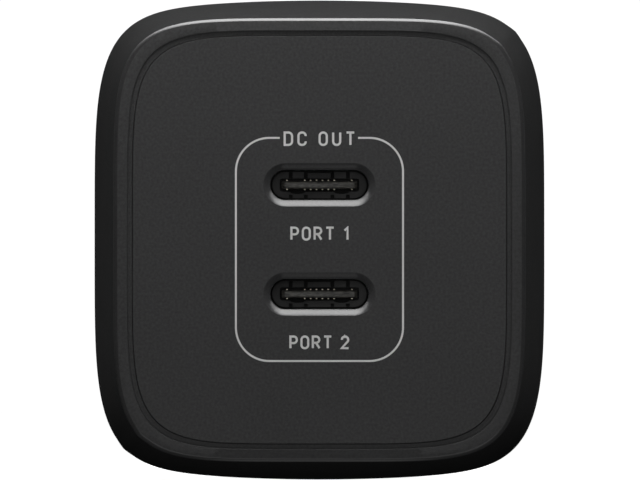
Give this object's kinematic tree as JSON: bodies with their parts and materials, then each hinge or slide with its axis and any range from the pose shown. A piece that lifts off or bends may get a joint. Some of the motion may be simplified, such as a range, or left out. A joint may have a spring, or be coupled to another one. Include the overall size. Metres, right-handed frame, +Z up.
{
  "type": "usb wall charger",
  "caption": "Wall charger with two USB-C ports in a grooved front panel, a flared black case with two creased corners, and folding flat blades behind.",
  "frame": {"origin": "middle of the rear face, which rests against the wall plate", "axes": "+Y into the wall along the extended blades, -Y out of the ports towards the user, +Z up, +X to the right as seen from the front"},
  "size_m": [0.0384, 0.069, 0.041],
  "materials": {
    "case_plastic": "fine-textured black polycarbonate",
    "panel_plastic": "fine-textured black polycarbonate",
    "liner_film": "dark insulating film",
    "port_steel": "drawn stainless steel",
    "port_insulator": "black moulded insulator",
    "dark_nylon": "black glass-filled nylon",
    "nickel_plate": "nickel-plated brass",
    "zinc_steel": "zinc-plated steel",
    "spring_bronze": "phosphor bronze",
    "wire_black": "black insulated wire",
    "wire_white": "white insulated wire",
    "circuit_board": "green glass-epoxy board",
    "white_plastic": "natural nylon",
    "ferrite": "sintered ferrite",
    "winding_tape": "yellow polyester tape over copper",
    "copper": "bare copper",
    "capacitor_sleeve": "shrunk plastic sleeve",
    "aluminium_can": "drawn aluminium can",
    "film_yellow": "yellow moulded box",
    "disc_blue": "blue lacquer",
    "disc_green": "green lacquer",
    "fuse_ceramic": "white glazed tube",
    "chip_epoxy": "black moulding compound",
    "insulation_film": "amber insulating sheet",
    "thermal_pad": "soft silicone pad"
  },
  "bodies": {
    "charger_body": {"main_housing": "case_plastic", "front_panel": "panel_plastic", "rear_cover": "case_plastic", "insulation_liner": "liner_film", "port_1_shell": "port_steel", "port_1_tongue": "port_insulator", "port_2_shell": "port_steel", "port_2_tongue": "port_insulator", "carrier_retainer": "dark_nylon", "retainer_screw_1": "zinc_steel", "retainer_screw_2": "zinc_steel", "contact_spring_live": "spring_bronze", "contact_spring_neutral": "spring_bronze", "detent_spring": "spring_bronze", "wire_live": "wire_black", "wire_neutral": "wire_white", "main_board": "circuit_board", "port_board": "circuit_board", "board_connector": "white_plastic", "transformer_core_lower": "ferrite", "transformer_core_upper": "ferrite", "transformer_bobbin": "white_plastic", "transformer_winding": "winding_tape", "choke_core": "ferrite", "choke_winding_1": "copper", "choke_winding_2": "copper", "bulk_capacitor_1": "capacitor_sleeve", "bulk_capacitor_2": "capacitor_sleeve", "output_capacitor_1": "aluminium_can", "output_capacitor_2": "aluminium_can", "x_capacitor": "film_yellow", "y_capacitor": "disc_blue", "thermistor": "disc_green", "fuse": "fuse_ceramic", "bridge_rectifier": "chip_epoxy", "gan_switch": "chip_epoxy", "primary_controller": "chip_epoxy", "sync_rectifier": "chip_epoxy", "optocoupler": "chip_epoxy", "pd_controller": "chip_epoxy", "buck_inductor_1": "ferrite", "buck_inductor_2": "ferrite", "isolation_barrier": "insulation_film", "heat_spreader_primary": "copper", "heat_spreader_secondary": "copper", "thermal_pad": "thermal_pad"},
    "folding_plug": {"prong_carrier": "dark_nylon", "blade_live": "nickel_plate", "blade_neutral": "nickel_plate"}
  },
  "joints": [
    {"name": "blade_fold", "type": "hinge", "parent": "charger_body", "child": "folding_plug", "pos_m": [0, -0.004, 0.007], "axis": [-1, 0, 0], "range_deg": [0, 90]}
  ]
}
